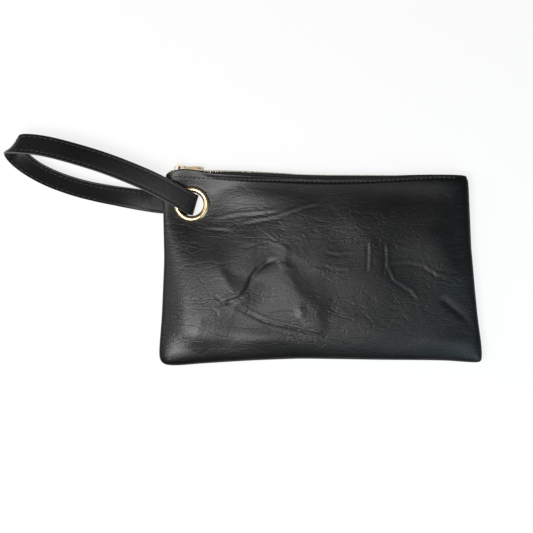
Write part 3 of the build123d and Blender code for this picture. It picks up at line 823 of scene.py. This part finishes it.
STRAP_HALF = 1.21            # half the strap's thickness
BULGE, PLAY = 2.1, 2.0       # of the eyelet over the leather, and of the strap over the eyelet
ABOVE = PINCH + BULGE + PLAY + STRAP_HALF
REAR, FRONT = 177.0, 150.0   # headings of the strap where it leaves the bore, in degrees
END_Z = SEAM - ABOVE - 1.6   # the joined ends lie a little lower
STITCH_AT = 6.9              # rows of stitches from the strap's centre line


def round_the_bore(turn):
    """Station of the strap on its way through the eyelet."""
    heading = REAR + (FRONT - REAR) * (turn + 90) / 180
    reach = 5.0 - ABOVE * math.cos(math.radians(turn))
    return (reach * math.cos(math.radians(heading)), reach * math.sin(math.radians(heading)),
            SEAM + ABOVE * math.sin(math.radians(turn)), 0, heading + 90)


# Stations: X and Y from the eyelet, Z, then the lean of the strap about its own run and the
# heading of its width in plan, both in degrees. It leaves the bore in front, turns at the
# far end and comes back behind.
stations = [(-14, 0.75, END_Z, 0, 267)] + [round_the_bore(t) for t in (-90, -45, 0, 45, 90)] + [
    (-24, 13.5, 23.3, 1, 242), (-38, 20.5, 24.7, 3, 244), (-53, 27, 26.0, 6, 245), (-82, 38, 28.4, 10, 246),
    (-110, 46.5, 29.8, 13, 246), (-134, 52.5, 29.4, 14, 244), (-151.5, 54.9, 27.4, 14, 241),
    (-161.2, 54.7, 24, 13, 241), (-165.2, 52.5, 19, 13, 241), (-164.0, 47.4, 14.2, 16, 240),
    (-157.6, 40.2, 11.2, 24, 239), (-146, 31.8, 9.8, 32, 240), (-122.5, 20.8, 9.2, 35, 244),
    (-93, 12.2, 8.6, 34, 250), (-70, 7.9, 7.2, 26, 256), (-51, 4.8, 4.2, 12, 262), (-38, 2.8, 2.1, 1, 266),
    (-28, 1.6, 1.72, 0, 267), (-20.5, 1.1, 1.85, 0, 267), (-15, 0.77, END_Z, 0, 267)]
strap_path, strap_marks = natural_spline([(EYE_X + s[0], EYE_Y + s[1], s[2]) for s in stations])
strap_length = strap_marks[-1]


def strap_frame(s):
    """Place, run, across and out of the loop, at a distance along the strap."""
    s = float(np.clip(s, 0, strap_length))
    near = 0.05
    place = strap_path(s)[0]
    run = strap_path(min(s + near, strap_length))[0] - strap_path(max(s - near, 0))[0]
    run = run / np.linalg.norm(run)
    lean = math.radians(float(np.interp(s, strap_marks, [q[3] for q in stations])))
    heading = math.radians(float(np.interp(s, strap_marks, [q[4] for q in stations])))
    level = np.array([math.cos(heading), math.sin(heading), 0])
    across = level - run * run.dot(level)
    across = across / np.linalg.norm(across)
    across = across * math.cos(lean) + np.cross(run, across) * math.sin(lean)
    return place, run, across, np.cross(run, across)


strap_places = np.concatenate([[0, 0.25], np.linspace(0.8, strap_length - 0.8, 300),
                               [strap_length - 0.25, strap_length]])
strap_frames = [strap_frame(s) for s in strap_places]


def strap_tube(section):
    """A strip of the strap with its own section, drawn in a little at both cut ends."""
    rings = []
    for k, (place, run, across, out) in enumerate(strap_frames):
        drawn_in = 0.985 if k in (0, len(strap_frames) - 1) else 1.0
        rings.append([place + across * a * drawn_in + out * o for a, o in section])
    return sweep(rings)


def layer(side):
    """Section of one leather layer, dished along the stitches and rounded at its outer edges."""
    face = side * STRAP_HALF
    outer = [(9.55, 0.98), (9.0, 1.0), (7.6, 1.0), (STITCH_AT, 0.88), (6.2, 1.0), (5.4, 1.03), (3.0, 1.05),
             (0, 1.06)]
    top = [(a, face * f) for a, f in outer]
    return [(-9.7, side * 0.03), (9.7, side * 0.03), (9.72, face * 0.8)] + top + [
        (-a, o) for a, o in top[-2::-1]] + [(-9.72, face * 0.8)]


def painted_edge(side):
    """Section of the bead of paint along one edge."""
    return [(side * (9.45 + 0.5 * math.cos(a)), 1.16 * math.sin(a) * (1 - 0.12 * math.cos(2 * a)))
            for a in np.linspace(-math.pi / 2, math.pi / 2, 9)]


outer_strap = mesh_object("strap_outer", *strap_tube(layer(1)), strap_leather, "strap", "strap_leather")
inner_strap = mesh_object("strap_inner", *strap_tube(layer(-1)), strap_leather, "strap", "strap_leather")
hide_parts("strap_outer_leather")
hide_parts("strap_inner_leather")
mesh_object("strap_edge_paint", *gather([strap_tube(painted_edge(-1)), strap_tube(painted_edge(1))]),
            edge_paint, "strap", "strap_leather")


def strap_threads():
    """The rows of stitches along both edges, seen on both faces."""
    first, last, pitch, height = 4.0, strap_length - 3.0, 5.0, 1.12
    parts = []
    for s in np.arange(first, last, pitch):
        place, run, across, out = strap_frame(s)
        for side in (-1, 1):
            for face in (-1, 1):
                middle = place + across * side * STITCH_AT + out * face * height
                parts.append(stitch(middle, run + across * 0.06 * side, out * face, 3.6, 0.7, 0.5))
    stitches = mesh_object("strap_stitches", *gather(parts), strap_thread, "strap", "thread")
    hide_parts("strap_stitching")


strap_threads()

# --- CAD pieces that keep their own shape -------------------------------------

for node, material in (("slider_body", gold), ("slider_crown", gold), ("pull_tab", gold),
                       ("front_top_stop", zip_gold), ("back_top_stop", zip_gold), ("seam_thread", thread),
                       ("front_eyelet_reinforcement", board), ("back_eyelet_reinforcement", board)):
    mesh = frame["nodes"][node].data
    mesh.materials.clear()
    mesh.materials.append(material)

# --- Floor, light and camera --------------------------------------------------


def floor_material():
    """Matt white that the camera and mirror-like surfaces see mostly as plain white, shadow and all."""
    whiteness = 0.82
    material, nodes, links, shader = new_material("floor")
    shader.inputs["Base Color"].default_value = (0.9, 0.9, 0.9, 1)
    shader.inputs["Roughness"].default_value = 0.9
    white = nodes.new("ShaderNodeEmission")
    rays = nodes.new("ShaderNodeLightPath")
    seen = maths(nodes, links, "MAXIMUM", rays.outputs["Is Camera Ray"], rays.outputs["Is Glossy Ray"])
    seen = maths(nodes, links, "MAXIMUM", seen, rays.outputs["Is Transmission Ray"])
    mix = nodes.new("ShaderNodeMixShader")
    links.new(maths(nodes, links, "MULTIPLY", seen, whiteness), mix.inputs["Fac"])
    links.new(shader.outputs[0], mix.inputs[1])
    links.new(white.outputs[0], mix.inputs[2])
    links.new(mix.outputs[0], nodes["Material Output"].inputs["Surface"])
    return material


reach, low = 20, -0.0004
corners = [(-reach, -reach, low), (reach, -reach, low), (reach, reach, low), (-reach, reach, low)]
floor_mesh = bpy.data.meshes.new("floor")
floor_mesh.from_pydata(corners, [], [(0, 1, 2, 3)])
floor_mesh.materials.append(floor_material())
floor = bpy.data.objects.new("floor", floor_mesh)
bpy.context.scene.collection.objects.link(floor)


def lamp(name, place, target, size, power, colour):
    """A soft rectangular lamp that looks at a target."""
    data = bpy.data.lights.new(name, "AREA")
    data.shape = "RECTANGLE"
    data.size, data.size_y = size
    data.energy = power
    data.color = colour
    obj = bpy.data.objects.new(name, data)
    bpy.context.scene.collection.objects.link(obj)
    obj.location = place
    obj.rotation_euler = (Vector(target) - Vector(place)).to_track_quat("-Z", "Y").to_euler()


lamp("key", (-0.38, -0.23, 1.18), (-0.05, 0, 0), (0.5, 0.5), 14.0, (1.0, 0.985, 0.97))
lamp("window", (-0.72, 0.16, 0.46), (-0.1, 0, 0), (0.5, 0.4), 1.6, (0.95, 0.98, 1.0))
lamp("teal", (0.37, -0.31, 0.38), (0.15, -0.085, 0.01), (0.4, 0.4), 1.3, (0.62, 0.88, 0.97))

world = bpy.data.worlds.new("room")
world.use_nodes = True
world.node_tree.nodes["Background"].inputs["Color"].default_value = (0.85, 0.86, 0.88, 1)
world.node_tree.nodes["Background"].inputs["Strength"].default_value = 0.10
bpy.context.scene.world = world
bpy.context.scene.view_settings.view_transform = "Standard"

camera_data = bpy.data.cameras.new("camera")
camera = bpy.data.objects.new("camera", camera_data)
bpy.context.scene.collection.objects.link(camera)
# It looks straight down, and sees a given width at the height of the bag's upper face.
aside, up_page = 0.0235, 0.001
height, aim_height, width_seen, sensor = 1.35, 0.014, 0.4957, 36
centre_x = (cad_box[0][0] + cad_box[1][0]) / 2 + aside
camera.location = (centre_x, up_page, height)
camera_data.sensor_width = sensor
camera_data.lens = sensor / width_seen * (height - aim_height)
bpy.context.scene.camera = camera
